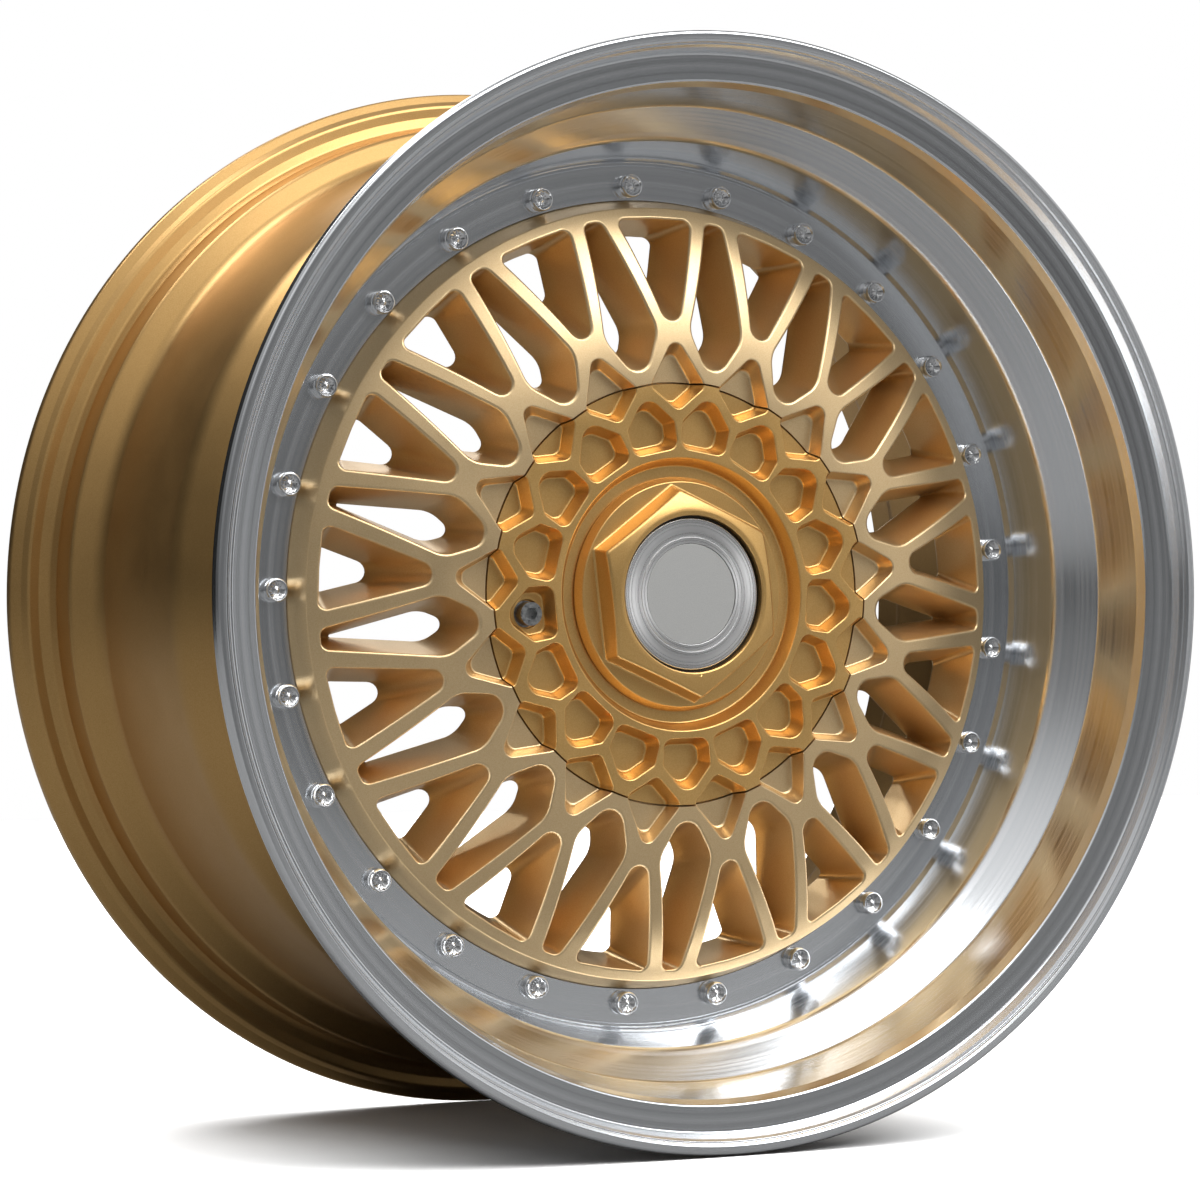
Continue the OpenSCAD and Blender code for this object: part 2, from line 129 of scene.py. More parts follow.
class Shell:
    """Points, normals and faces of one piece, gathered ring by ring."""

    def __init__(self):
        self.flat = np.zeros((0, 2))
        self.depth = np.zeros(0)
        self.normal = np.zeros((0, 3))
        self.faces = []

    def ring(self, flat, depth, normal):
        """Adds a row of points and returns their numbers; the normal is (x, y, depth)."""
        start = len(self.flat)
        count = len(flat)
        self.flat = np.vstack([self.flat, flat])
        self.depth = np.concatenate([self.depth, np.broadcast_to(depth, count)])
        self.normal = np.vstack([self.normal, np.broadcast_to(normal, (count, 3))])
        return np.arange(start, start + count)

    def again(self, ids, normal, depth=None):
        """The same points once more with another normal, for a sharp edge or a wall's far side."""
        return self.ring(self.flat[ids], self.depth[ids] if depth is None else depth, normal)

    def band(self, first, second, closed=True):
        """Quads between two rows of points."""
        count = len(first)
        for i in range(count if closed else count - 1):
            j = (i + 1) % count
            self.faces.append([int(first[i]), int(first[j]), int(second[j]), int(second[i])])

    def patch(self, ids):
        """One flat face round a row of points."""
        self.faces.append([int(i) for i in ids])

    def fill(self, loops, extra, keep):
        """Triangles across a face between closed loops, where keep says that there is material."""
        ids = np.concatenate(loops + [extra]).astype(int)
        edges = []
        start = 0
        for loop in loops:
            count = len(loop)
            edges += [(start + i, start + (i + 1) % count) for i in range(count)]
            start += count
        points, _, triangles, origin, _, _ = delaunay_2d_cdt(
            [Vector(p) for p in self.flat[ids]], edges, [], 0, 1e-7)
        triangles = np.array(triangles)
        origin = np.array([o[0] for o in origin])
        centres = np.array([tuple(p) for p in points])[triangles].mean(axis=1)
        self.faces += ids[origin[triangles[keep(centres)]]].tolist()

    def piece(self, name, material, body, *nodes):
        """Makes the Blender object, which stands for the CAD nodes and rides on the body."""
        points = np.column_stack([self.flat[:, 0], self.depth - half_width, self.flat[:, 1]]) * MM
        normals = self.normal[:, [0, 2, 1]]
        normals = normals / np.linalg.norm(normals, axis=1, keepdims=True)
        faces = []
        for face in self.faces:
            corners = points[face]
            area = np.cross(corners, np.roll(corners, -1, axis=0)).sum(axis=0)
            facing = area @ normals[face].sum(axis=0)
            faces.append(face if facing >= 0 else face[::-1])
        mesh = bpy.data.meshes.new(name)
        mesh.from_pydata(points.tolist(), [], faces)
        mesh.validate(clean_customdata=False)
        mesh.shade_smooth()
        mesh.normals_split_custom_set_from_vertices(normals.tolist())
        mesh.materials.append(material)
        thing = bpy.data.objects.new(name, mesh)
        bpy.context.scene.collection.objects.link(thing)
        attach(thing, body)
        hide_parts(*nodes)
        return thing


slot_of = {part["node"]: part["material_slot"] for part in frame["record"]["subparts"]}


def turned(flat, angle):
    """Points drawn with their radius pointing up, moved to an angle round the axle."""
    c, s = math.cos(angle - math.pi / 2), math.sin(angle - math.pi / 2)
    return flat @ np.array([[c, s], [-s, c]])


def circle(radius, count, centre=(0, 0)):
    angles = roll + 2 * math.pi * np.arange(count) / count
    return np.column_stack([np.cos(angles), np.sin(angles)]) * radius + np.array(centre)


# ---------- outlines ----------

def mirrored(half):
    """A whole outline from its right half, listed from the inner end to the outer end."""
    return half + [(-x, y) for x, y in reversed(half) if x > 0]


def grown(points, amount):
    """A convex outline with every side moved outwards; a side that has shrunk away stays 1 mm long."""
    points = np.array(points, float)
    ahead = np.roll(points, -1, axis=0) - points
    ahead /= np.linalg.norm(ahead, axis=1, keepdims=True)
    out = np.column_stack([ahead[:, 1], -ahead[:, 0]])
    before = np.roll(out, 1, axis=0)
    share = amount / (1 + (out * before).sum(axis=1))
    moved = points + (out + before) * share[:, None]
    half_stub = 0.5
    for i in np.flatnonzero((points[:, 0] > 0) & (moved[:, 0] < half_stub)):
        side = moved[i - 1] - moved[i]
        moved[i] += side * (half_stub - moved[i, 0]) / side[0]
        moved[len(points) - i] = moved[i] * (-1, 1)
    return moved


def rounded(points, radii, steps, side_steps):
    """A closed outline with rounded corners, and side_steps[i] stretches on the side after corner i."""
    count = len(points)
    arcs = []
    for i in range(count):
        to_last = points[i - 1] - points[i]
        to_next = points[(i + 1) % count] - points[i]
        reach = 0.48 * min(np.linalg.norm(to_last), np.linalg.norm(to_next))
        to_last = to_last / np.linalg.norm(to_last)
        to_next = to_next / np.linalg.norm(to_next)
        half = math.acos(max(-1, min(1, to_last @ to_next))) / 2
        radius = min(radii[i], reach * math.tan(half))
        middle = (to_last + to_next) / np.linalg.norm(to_last + to_next)
        centre = points[i] + middle * radius / math.sin(half)
        start = math.atan2(to_last[0], -to_last[1])
        sweep = math.pi - 2 * half
        angles = start + sweep * np.arange(steps + 1) / steps
        arcs.append(centre + radius * np.column_stack([np.cos(angles), np.sin(angles)]))
    outline = []
    for i in range(count):
        outline.append(arcs[i])
        share = np.arange(1, side_steps[i])[:, None] / side_steps[i]
        outline.append(arcs[i][-1] * (1 - share) + arcs[(i + 1) % count][0] * share)
    return np.vstack(outline)


def pocket_outline(corners, radii, steps, side_steps):
    """An outline that can be drawn larger or smaller, with its corners kept round."""
    def draw(amount):
        return rounded(grown(corners, amount), [r + max(amount, 0) for r in radii], steps, side_steps)
    return draw


long_window = pocket_outline(
    mirrored([(0, 91.4), (12.7, 112.9), (4.1, 162.4)]), [7, 12, 3.3, 3.3, 12], 8, [6, 16, 2, 16, 6])
short_window = pocket_outline(
    [(0, 107.6), (18, 161.6), (0, 162.3), (-18, 161.6)], [4.8, 2.8, 60, 2.8], 8, [16, 4, 4, 16])
kite_pocket = pocket_outline(
    mirrored([(0, 78.85), (13.4, 89.1), (0, 111.1)]), [3.5, 2.8, 3.9, 2.8], 8, [4, 6, 6, 4])
house_pocket = pocket_outline(
    mirrored([(10.7, 62.0), (11.4, 73.4), (0, 87.2)]), [4.2, 2.6, 6.4, 2.6, 4.2], 7, [3, 4, 4, 3, 5])


def cut_at(outline, radius, outside, count):
    """The stretch of an outline that lies outside, or inside, a circle round the axle."""
    def draw(amount):
        loop = outline(amount)
        wanted = (np.hypot(*loop.T) > radius) == outside
        first = next(i for i in range(len(loop)) if wanted[i] and not wanted[i - 1])
        loop = np.roll(loop, -first, axis=0)
        kept = int(np.argmin(np.roll(wanted, -first)))
        start = crossing(loop[-1], loop[0], radius)
        stop = crossing(loop[kept - 1], loop[kept], radius)
        path = np.vstack([start, loop[:kept], stop])
        along = np.concatenate([[0], np.cumsum(np.hypot(*np.diff(path, axis=0).T))])
        places = np.linspace(0, along[-1], count)
        return np.column_stack([np.interp(places, along, path[:, 0]), np.interp(places, along, path[:, 1])])
    return draw


def crossing(a, b, radius):
    """Where the line from a to b meets a circle round the axle."""
    ra, rb = np.hypot(*a), np.hypot(*b)
    return a + (b - a) * (radius - ra) / (rb - ra)


def inside(points, outline):
    """Which points lie inside a closed outline."""
    x, y = points[:, 0:1], points[:, 1:2]
    ax, ay = outline[:, 0], outline[:, 1]
    bx, by = np.roll(ax, -1), np.roll(ay, -1)
    spans = (ay > y) != (by > y)
    with np.errstate(divide="ignore", invalid="ignore"):
        left = x < (bx - ax) * (y - ay) / (by - ay) + ax
    return np.count_nonzero(spans & left, axis=1) % 2 == 1


def folded(points, first):
    """Points round the wheel brought to the one pitch whose middle points up."""
    angle = np.arctan2(points[:, 1], points[:, 0]) - roll - first
    angle -= pitch * np.round(angle / pitch)
    radius = np.hypot(*points.T)
    return np.column_stack([-radius * np.sin(angle), radius * np.cos(angle)])


# ---------- surfaces ----------

def face_at(r):
    fall = np.clip(r - flat_r, 0, None)
    return face_depth + face_arc_r - np.sqrt(face_arc_r ** 2 - fall ** 2)


def disc_back_at(r):
    return np.interp(r, [93, 105.3, 152.9, 160], [67.5, 69.5, 86.2, 92.3])


def floor_at(r):
    return np.full_like(r, floor_depth)


def slope(surface, r):
    step = 0.5
    return (surface(r + step) - surface(r - step)) / (2 * step)


def edge_steps(radius):
    """Round the edge from a face to a drafted wall: (growth of the outline, share, drop, tilt)."""
    tilts = [(math.pi / 2 - draft) * i / 4 for i in range(5)]
    return [(radius * (1 - math.sin(t)), 0, radius * (1 - math.cos(t)), t) for t in tilts]


def window_steps():
    """How a window's side runs: (growth of the outline, share of the way back, drop, tilt)."""
    top = edge_steps(edge_r)
    start = top[-1][0]
    far = math.pi / 2 - draft
    wall_end = start - wall_shift
    wall = [(start - wall_shift * w, w, (1 - w) * top[-1][2] - w * back_edge_r * (1 + math.cos(far)), far)
            for w in (0.2, 0.4, 0.6, 0.8, 1)]
    centre = wall_end + back_edge_r * math.sin(far)
    turns = [far + (math.pi - far) * i / 4 for i in range(1, 5)]
    back = [(centre - back_edge_r * math.sin(t), 1, -back_edge_r * (1 + math.cos(t)), t) for t in turns]
    return top + wall + back


def pocket_steps(shift):
    """The same for a pocket with a flat floor, whose wall leans in by shift."""
    top = edge_steps(pocket_edge_r)
    start = top[-1][0]
    far = math.pi / 2 - draft
    wall = [(start - shift * w, w, (1 - w) * top[-1][2] - w * floor_edge_r * (1 - math.cos(far)), far)
            for w in (0.5, 1)]
    centre = start - shift - floor_edge_r * math.sin(far)
    turns = [far * (1 - i / 3) for i in range(1, 4)]
    foot = [(centre + floor_edge_r * math.sin(t), 1, -floor_edge_r * (1 - math.cos(t)), t) for t in turns]
    return top + wall + foot


def sink(shell, outline, steps, front, back, angle, closed=True, solid_inside=False):
    """Rings down the side of an opening, or of a boss when the solid is inside the outline."""
    rings = []
    sign = -1 if solid_inside else 1
    for growth, share, drop, tilt in steps:
        flat = outline(growth * sign)
        if closed:
            along = np.roll(flat, -1, axis=0) - np.roll(flat, 1, axis=0)
        else:
            along = np.gradient(flat, axis=0)
        along /= np.linalg.norm(along, axis=1, keepdims=True)
        away = np.column_stack([-along[:, 1], along[:, 0]]) * sign
        r = np.hypot(*flat.T)
        depth = (1 - share) * front(r) + share * back(r) + drop
        fall = (1 - share) * slope(front, r) + share * slope(back, r)
        lean = math.cos(tilt) * fall[:, None] * flat / r[:, None] + math.sin(tilt) * away
        normal = np.column_stack([turned(lean, angle), np.full(len(r), -math.cos(tilt))])
        rings.append(shell.ring(turned(flat, angle), depth, normal))
        if len(rings) > 1:
            shell.band(rings[-2], rings[-1], closed)
    return rings


def profile(points, steps=5):
    """Rounds the corners of a turned outline and gives each point its normal: (r, depth, nr, nd).
    Corners are (r, depth, rounding); the material is on the right hand of the way it runs."""
    samples = []
    corners = [np.array(p[:2], float) for p in points]
    for i, (r, depth, rounding) in enumerate(points):
        here = corners[i]
        came = here - corners[i - 1] if i else corners[1] - here
        goes = corners[i + 1] - here if i + 1 < len(points) else came
        lengths = np.linalg.norm(came), np.linalg.norm(goes)
        came, goes = came / lengths[0], goes / lengths[1]
        turn = math.atan2(came[0] * goes[1] - came[1] * goes[0], came @ goes)
        first = math.atan2(-came[0], came[1])
        reach = min(rounding * abs(math.tan(turn / 2)), 0.48 * min(lengths))
        if reach < 0.01:
            samples.append((r, depth, math.cos(first), math.sin(first)))
            if abs(turn) > 0.01:
                samples.append((r, depth, math.cos(first + turn), math.sin(first + turn)))
            continue
        radius = reach / abs(math.tan(turn / 2))
        side = 1 if turn > 0 else -1
        centre = here - came * reach - side * radius * np.array([math.cos(first), math.sin(first)])
        for k in range(steps + 1):
            angle = first + turn * k / steps
            spot = centre + side * radius * np.array([math.cos(angle), math.sin(angle)])
            samples.append((spot[0], spot[1], math.cos(angle), math.sin(angle)))
    return samples


def spin(shell, samples, count, centre=(0, 0), closed=False):
    """Turns a profile round the axle, or round another centre, and returns its rings."""
    directions = circle(1, count)
    rings = []
    for r, depth, nr, nd in samples:
        normal = np.column_stack([directions * nr, np.full(count, nd)])
        rings.append(shell.ring(directions * r + np.array(centre), depth, normal))
    ends = list(zip(range(len(samples) - 1), range(1, len(samples))))
    if closed:
        ends.append((len(samples) - 1, 0))
    for i, j in ends:
        if math.dist(samples[i][:2], samples[j][:2]) > 0.001:
            shell.band(rings[i], rings[j])
    return rings


def polar_grid(r_from, r_to, step, blocked, clearance):
    """Points spread evenly over a ring, away from the outlines in blocked: (outline, first angle)."""
    spots = []
    for r in np.arange(r_from, r_to, step):
        count = max(2, round(pitch * r / step))
        angles = (np.arange(count) + 0.5) / count * pitch
        spots.append(np.column_stack([np.cos(angles + roll), np.sin(angles + roll)]) * r)
    spots = np.vstack(spots)
    for outline, first in blocked:
        near = folded(spots, first)
        gaps = np.hypot(*(near[:, None, :] - outline[None, :, :]).transpose(2, 0, 1)).min(axis=1)
        spots = spots[(gaps > clearance) & ~inside(near, outline)]
    copies = [turned(spots, math.pi / 2 + i * pitch) for i in range(mesh_n)]
    return np.vstack(copies)


def face_normals(flat, surface, side=-1):
    """Normals of a face that falls away with distance from the axle; side -1 looks to the front."""
    r = np.hypot(*flat.T)
    fall = slope(surface, r)[:, None] * flat / r[:, None]
    return np.column_stack([-side * fall, np.full(len(r), side)])


def scatter(shell, flat, surface, side=-1):
    """Adds loose points on a face, for fill."""
    return shell.ring(flat, surface(np.hypot(*flat.T)), face_normals(flat, surface, side))


def seam_boundary(shell, cuts, radius, surface, wall_side, wall_depth):
    """The edge of a face along the seam, where the seam crosses a pocket at every pitch.
    Returns the loop of the face itself, and leaves the pocket floors and the seam's wall in place."""
    face_loop, wall_top = [], []
    for k, rings in enumerate(cuts):
        following = cuts[(k + 1) % len(cuts)]
        face_loop.append(rings[0])
        floor = rings[-1]
        floor_arc = arc_between(shell.flat[floor[-1]], shell.flat[floor[0]], radius, 10)
        floor_ids = shell.ring(floor_arc, floor_depth, (0, 0, -1))
        shell.patch(np.concatenate([floor, floor_ids]))
        down = [r[0] for r in rings]
        up = [r[-1] for r in reversed(rings)]
        across = list(floor_ids[::-1])
        section = down + across + up
        bridge_arc = arc_between(shell.flat[rings[0][-1]], shell.flat[following[0][0]], radius, 6)
        bridge = shell.ring(bridge_arc, surface(np.hypot(*bridge_arc.T)), face_normals(bridge_arc, surface))
        face_loop.append(bridge)
        wall_top += section + list(bridge)
    wall_top = np.array(wall_top)
    flat = shell.flat[wall_top]
    outward = flat / np.hypot(*flat.T)[:, None] * wall_side
    normal = np.column_stack([outward, np.zeros(len(flat))])
    top = shell.again(wall_top, normal)
    foot = shell.again(wall_top, normal, wall_depth)
    shell.band(top, foot)
    return np.concatenate(face_loop), foot


def arc_between(a, b, radius, steps):
    """Points on a circle round the axle between two of its points, the short way, ends left out."""
    start = math.atan2(a[1], a[0])
    sweep = math.atan2(b[1], b[0]) - start
    sweep = (sweep + math.pi) % (2 * math.pi) - math.pi
    angles = start + sweep * np.arange(1, steps) / steps
    return np.column_stack([np.cos(angles), np.sin(angles)]) * radius


# ---------- rim halves ----------

def rim_lip():
    """Spun and turned outer half: stepped inside, rolled flange, bead seat and bolting flange."""
    shell = Shell()
    spin(shell, profile([
        (opening_r, joint_depth, 0.3), (186.4, joint_depth, 0.2), (186.9, joint_depth + 0.5, 0.2),
        (187.9, joint_depth + 0.5, 0.2), (188.9, joint_depth - 1.2, 0.6), (189.5, joint_depth - 2.4, 0.3),
        (195, 51.8, 9), (208.3, 36.3, 5), (213.2, 14, 2), (215.1, 8.7, 1.4), (226.6, 7, 1.6),
        (228.6, 3.0, 0.8), (229.6, 1.4, 0.3), (230.2, 1.4, 0.2), (230.7, 0.5, 0.3), (231.6, 0, 0.6),
        (234.6, 0, 1.2), (flange_r, 1.6, 1), (flange_r, 5.6, 1.5), (231.6, 9.4, 2), (229.4, 12.7, 1.5),
        (224.6, 12.7, 2), (220.4, 14.4, 3), (bead_r, 18.5, 3), (bead_r - 1.3, 33, 3),
        (bead_r + 0.3, 35.6, 2), (bead_r + 0.1, 38, 2), (216, 41, 4), (201.5, 57.5, 6),
        (well_r, 68, 4), (well_r, split_depth, 0),
        (nest_r, split_depth, 0), (nest_r, lip_back, 0), (opening_r, lip_back, 0.3),
        (opening_r, joint_depth + 3, 0)]), 360, closed=True)
    return shell.piece("rim_lip", polished_aluminium(), "wheel", "outer_lip")


def rim_barrel():
    """Spun inner half with the drop well, rear bead seat and rear flange."""
    rear = rim_width
    shell = Shell()
    spin(shell, profile([
        (opening_r, disc_back, 0), (nest_r, disc_back, 0), (nest_r, split_depth, 0),
        (well_r, split_depth, 0), (well_r, 97, 10), (205.6, 118, 25), (207, 197.5, 12),
        (bead_r - 1, rear - 34, 5), (bead_r, rear - 32, 2), (bead_r - 1.2, rear - 29.6, 2),
        (bead_r, rear - 18, 3), (220.4, rear - 14.4, 3), (224.6, rear - 12.7, 2),
        (229.4, rear - 12.7, 2), (231.6, rear - 9.4, 2), (flange_r, rear - 5.6, 2.5),
        (flange_r, rear - 1.8, 1.6), (234.6, rear, 1.2), (231, rear, 1), (225.4, rear - 5, 2),
        (216, rear - 7.4, 2), (211.5, rear - 13, 3), (210, rear - 32, 8), (201, 194, 12), (200, 116, 8),
        (190.5, 103, 4), (189.5, barrel_back, 2), (opening_r, barrel_back, 0.3),
        (opening_r, disc_back + 3, 0)]), 360, closed=True)
    # The barrel wears the disc's champagne lacquer in a darker copy; the darker colour is painted shade.
    lacquer = champagne_lacquer("barrel_lacquer_painted_shade", "C69C5E", "D2AA6E")
    return shell.piece("rim_barrel", lacquer, "wheel", "inner_barrel")


# ---------- mesh disc ----------

def mesh_disc():
    """Forged disc: forks between drafted windows, kite pockets at the seam, hub pad behind."""
    shell = Shell()
    ring_n = mesh_n * 20
    long_angles = [roll + (i + 0.5) * pitch for i in range(mesh_n)]
    short_angles = [roll + i * pitch for i in range(mesh_n)]
    seam = seam_r + seam_gap
    kite = cut_at(kite_pocket, seam, True, 40)
    window_side = window_steps()
    pocket_side = pocket_steps(2.0)
    longs = [sink(shell, long_window, window_side, face_at, disc_back_at, a) for a in long_angles]
    shorts = [sink(shell, short_window, window_side, face_at, disc_back_at, a) for a in short_angles]
    cuts = [sink(shell, kite, pocket_side, face_at, floor_at, a, closed=False) for a in short_angles]

    # outer wall, flange held in the split joint, and the turn to the back
    rim = spin(shell, profile([
        (face_edge_r, float(face_at(face_edge_r)), 0), (167.3, float(face_at(167.3)), 1.2), (169.6, 74, 3),
        (171.2, joint_depth, 0.3), (opening_r - 0.4, lip_back, 0), (nest_r - 0.5, lip_back, 0),
        (nest_r - 0.5, disc_back, 0), (160, disc_back, 0)]), ring_n)
    seam_loop, wall_foot = seam_boundary(shell, cuts, seam, face_at, -1, ledge_depth)
    blocked = [(long_window(edge_r), pitch / 2), (short_window(edge_r), 0), (kite_pocket(pocket_edge_r), 0)]
    loose = scatter(shell, polar_grid(seam + 2, face_edge_r - 1, 2.6, blocked, 1.1), face_at)
    shell.fill([r[0] for r in longs] + [r[0] for r in shorts] + [rim[0], seam_loop], loose,
               lambda p: solid_at(p, blocked, seam, face_edge_r))

    # back of the forks
    back_growth = window_side[-1][0]
    behind = [(long_window(back_growth), pitch / 2), (short_window(back_growth), 0)]
    hub = spin(shell, profile([
        (93.5, float(disc_back_at(93.5)), 0), (92.8, 67.5, 1), (86, 72, 4), (pad_r, 96, 3),
        (pad_r - 3, hub_depth, 1), (pad_r - 5, hub_depth, 0)]), ring_n)
    back_rim = shell.again(rim[-1], (0, 0, 1))
    loose = scatter(shell, polar_grid(96, 158, 4, behind, 1.5), disc_back_at, 1)
    shell.fill([r[-1] for r in longs] + [r[-1] for r in shorts] + [back_rim, hub[0]], loose,
               lambda p: solid_at(p, behind, 93.5, 160))

    # ledge under the cover, hub pad with its bore and lug holes
    ledge = spin(shell, [(ledge_r, ledge_depth, 0, -1), (ledge_r, ledge_depth, -1, 0),
                         (ledge_r, pad_front, -1, 0), (ledge_r, pad_front, 0, -1)], ring_n)
    ledge_edge = shell.again(wall_foot, (0, 0, -1))
    shell.fill([ledge_edge, ledge[0]], np.zeros(0, int),
               lambda p: (np.hypot(*p.T) > ledge_r) & (np.hypot(*p.T) < seam))
    bore = spin(shell, profile([
        (hub_bore_r + 3, hub_depth, 0), (hub_bore_r + 1.5, hub_depth, 0.4),
        (hub_bore_r, hub_depth - 1.5, 0.4), (hub_bore_r, pad_front, 0),
        (hub_bore_r + 3, pad_front, 0)]), 180)
    holes = []
    for i in range(lug_n):
        angle = roll + 2 * math.pi * i / lug_n
        centre = (lug_circle_r * math.cos(angle), lug_circle_r * math.sin(angle))
        holes.append((centre, spin(shell, [
            (lug_hole_r, hub_depth, 0, 1), (lug_hole_r, hub_depth, -1, 0),
            (lug_hole_r, lug_seat_depth, -1, 0), (lug_hole_r, lug_seat_depth, 0, -1),
            (lug_seat_r, lug_seat_depth, 0, -1), (lug_seat_r, lug_seat_depth, -1, 0),
            (lug_seat_r, pad_front, -1, 0), (lug_seat_r, pad_front, 0, -1)], 64, centre)))
    shell.fill([bore[0], hub[-1]] + [rings[0] for _, rings in holes], np.zeros(0, int),
               lambda p: clear_of(p, holes, lug_hole_r) & (np.hypot(*p.T) > hub_bore_r + 3))
    shell.fill([bore[-1], ledge[-1]] + [rings[-1] for _, rings in holes], np.zeros(0, int),
               lambda p: clear_of(p, holes, lug_seat_r) & (np.hypot(*p.T) > hub_bore_r + 3))

    # boss for the cover screw's insert
    angle = roll + math.pi
    centre = (screw_circle_r * math.cos(angle), screw_circle_r * math.sin(angle))
    boss = profile([
        (insert_hole_r, 78, 0), (insert_hole_r, 60, 0.3), (7.5, 60, 0.5), (7.5, pad_front + 1, 0)])
    spin(shell, boss, 64, centre)
    lacquer = champagne_lacquer("disc_champagne_lacquer", "E4C492", "EED2A4")
    return shell.piece("mesh_disc", lacquer, "wheel", "centre_disc")


def solid_at(points, blocked, r_low, r_high):
    """Which points of a face have material behind them."""
    r = np.hypot(*points.T)
    keep = (r > r_low) & (r < r_high)
    for outline, first in blocked:
        keep &= ~inside(folded(points, first), outline)
    return keep


def clear_of(points, holes, radius):
    keep = np.ones(len(points), bool)
    for centre, _ in holes:
        keep &= np.hypot(*(points - np.array(centre)).T) > radius
    return keep


# ---------- cover ----------

def cover_plate():
    """Round cover: inner halves of the kite pockets, house pockets and the recess for the nut."""
    shell = Shell()
    ring_n = 360
    seam = seam_r - seam_gap
    inner_r = 60.2
    kite = cut_at(kite_pocket, seam, False, 48)
    side = pocket_steps(2.0)
    kite_angles = [roll + i * pitch for i in range(mesh_n)]
    house_angles = [roll + (i + 0.5) * pitch for i in range(mesh_n)]
    cuts = [sink(shell, kite, side, face_at, floor_at, a, closed=False) for a in kite_angles]
    cuts = [[ring[::-1] for ring in rings] for rings in cuts]
    houses = [sink(shell, house_pocket, side, face_at, floor_at, a) for a in house_angles]
    screw_house = mesh_n // 2
    for i, rings in enumerate(houses):
        if i != screw_house:
            shell.patch(rings[-1])
    seam_loop, wall_foot = seam_boundary(shell, cuts, seam, face_at, 1, plate_back)
    middle = spin(shell, profile([
        (seam - 2, plate_back, 0), (plate_bore_r, plate_back, 0.3), (plate_bore_r, seat_depth, 0.3),
        (55.4, seat_depth, 1.2), (58.6, face_depth, 1.0), (inner_r, face_depth, 0)]), ring_n)
    blocked = [(house_pocket(pocket_edge_r), pitch / 2), (kite_pocket(pocket_edge_r), 0)]
    loose = scatter(shell, polar_grid(inner_r + 2, seam - 1, 2.6, blocked, 1.1), face_at)
    shell.fill([r[0] for r in houses] + [middle[-1], seam_loop], loose,
               lambda p: solid_at(p, blocked, inner_r, seam + 1))
    back_edge = shell.again(wall_foot, (0, 0, 1))
    shell.fill([back_edge, middle[0]], np.zeros(0, int),
               lambda p: (np.hypot(*p.T) > seam - 2) & (np.hypot(*p.T) < seam + 1))

    # well for the screw in one of the house pockets
    angle = house_angles[screw_house]
    centre = (screw_circle_r * math.cos(angle), screw_circle_r * math.sin(angle))
    well = spin(shell, profile([
        (screw_hole_r, screw_seat_depth, 0), (screw_well_r, screw_seat_depth, 0.2),
        (screw_well_r, floor_depth, 0.3), (screw_well_r + 0.3, floor_depth, 0)]), 64, centre)
    floor = shell.again(houses[screw_house][-1], (0, 0, -1))
    shell.fill([floor, well[-1]], np.zeros(0, int),
               lambda p: clear_of(p, [(centre, well)], screw_well_r + 0.3))
    return shell.piece("cover_face", gold_lacquer(), "cover", "cover_plate")


def hexagon(amount):
    """The nut's outline just under its rounded front edge, made larger by moving its sides out."""
    flat_half = hex_corner_r * math.cos(math.radians(30))
    corner_r = hex_corner_r * (flat_half + amount) / flat_half
    corners = [(corner_r * math.cos(math.radians(60 * i)), corner_r * math.sin(math.radians(60 * i)))
               for i in range(6)]
    return rounded(np.array(corners), [1.6] * 6, 8, [32] * 6)


def centre_nut():
    """Hexagon nut with a domed front, a round flange and a threaded skirt."""
    rim_r = 35.4
    rim_depth = 36.5
    corner_depth = 39.3
    side_lean = math.radians(10)
    flange_back = seat_depth - 0.53    # just clear of the washer
    round_r = 1.5

    def dome(r):
        share = np.clip((r - rim_r) / (hex_corner_r - rim_r), 0, 1.2)
        return rim_depth + (corner_depth - rim_depth) * share ** 1.25

    def flange_top(r):
        return np.full_like(r, boss_depth)

    shell = Shell()
    far = math.pi / 2 - side_lean
    spread = 1.4
    top = [(round_r * (1 - math.sin(t)), 0, round_r * (1 - math.cos(t)), t)
           for t in [far * i / 5 for i in range(6)]]
    start, drop = top[-1][0], top[-1][2]
    foot_r = 1.2
    wall = [(start - spread * w, w, (1 - w) * drop - w * foot_r * (1 - math.cos(far)), far)
            for w in (0.5, 1)]
    centre = start - spread - foot_r * math.sin(far)
    foot = [(centre + foot_r * math.sin(t), 1, -foot_r * (1 - math.cos(t)), t)
            for t in [far * (1 - i / 4) for i in range(1, 5)]]
    rings = sink(shell, hexagon, top + wall + foot, dome, flange_top, roll, solid_inside=True)
    outer = shell.flat[rings[0]]
    bearing = outer / np.hypot(*outer.T)[:, None]
    count = len(outer)

    # domed front, from the hexagon's edge in to the round rim
    last = rings[0]
    for share in (0.75, 0.5, 0.25, 0):
        flat = outer * share + bearing * rim_r * (1 - share)
        row = scatter(shell, flat, dome)
        shell.band(last, row)
        last = row
    rim_rows = [(rim_r, rim_depth, 0, -1)] + profile([
        (rim_r, rim_depth, 0), (33.6, rim_depth + 0.1, 0.7), (33.8, 42.5, 0), (26.6, 42.5, 0), (26.6, 44, 0),
        (36.05, 44, 0), (36.05, plate_back, 0.3), (40.2, plate_back, 0.3), (40.2, flange_back, 0),
        (50.3, flange_back, 0.3), (50.3, 50.9, 0.5), (48.3, boss_depth, 0.9), (47.4, boss_depth, 0)])
    rim_rows = [(r, d, -nr, -nd) if i else (r, d, nr, nd) for i, (r, d, nr, nd) in enumerate(rim_rows)]
    for i, (r, depth, nr, nd) in enumerate(rim_rows):
        normal = np.column_stack([bearing * nr, np.full(count, nd)])
        row = shell.ring(bearing * r, depth, normal)
        if i:
            shell.band(last, row)
        last = row
    plane = shell.again(rings[-1], (0, 0, -1))
    shell.band(last, plane)
    return shell.piece("centre_nut", gold_lacquer(), "nut", "hex_nut")


# ---------- fasteners and emblem ----------

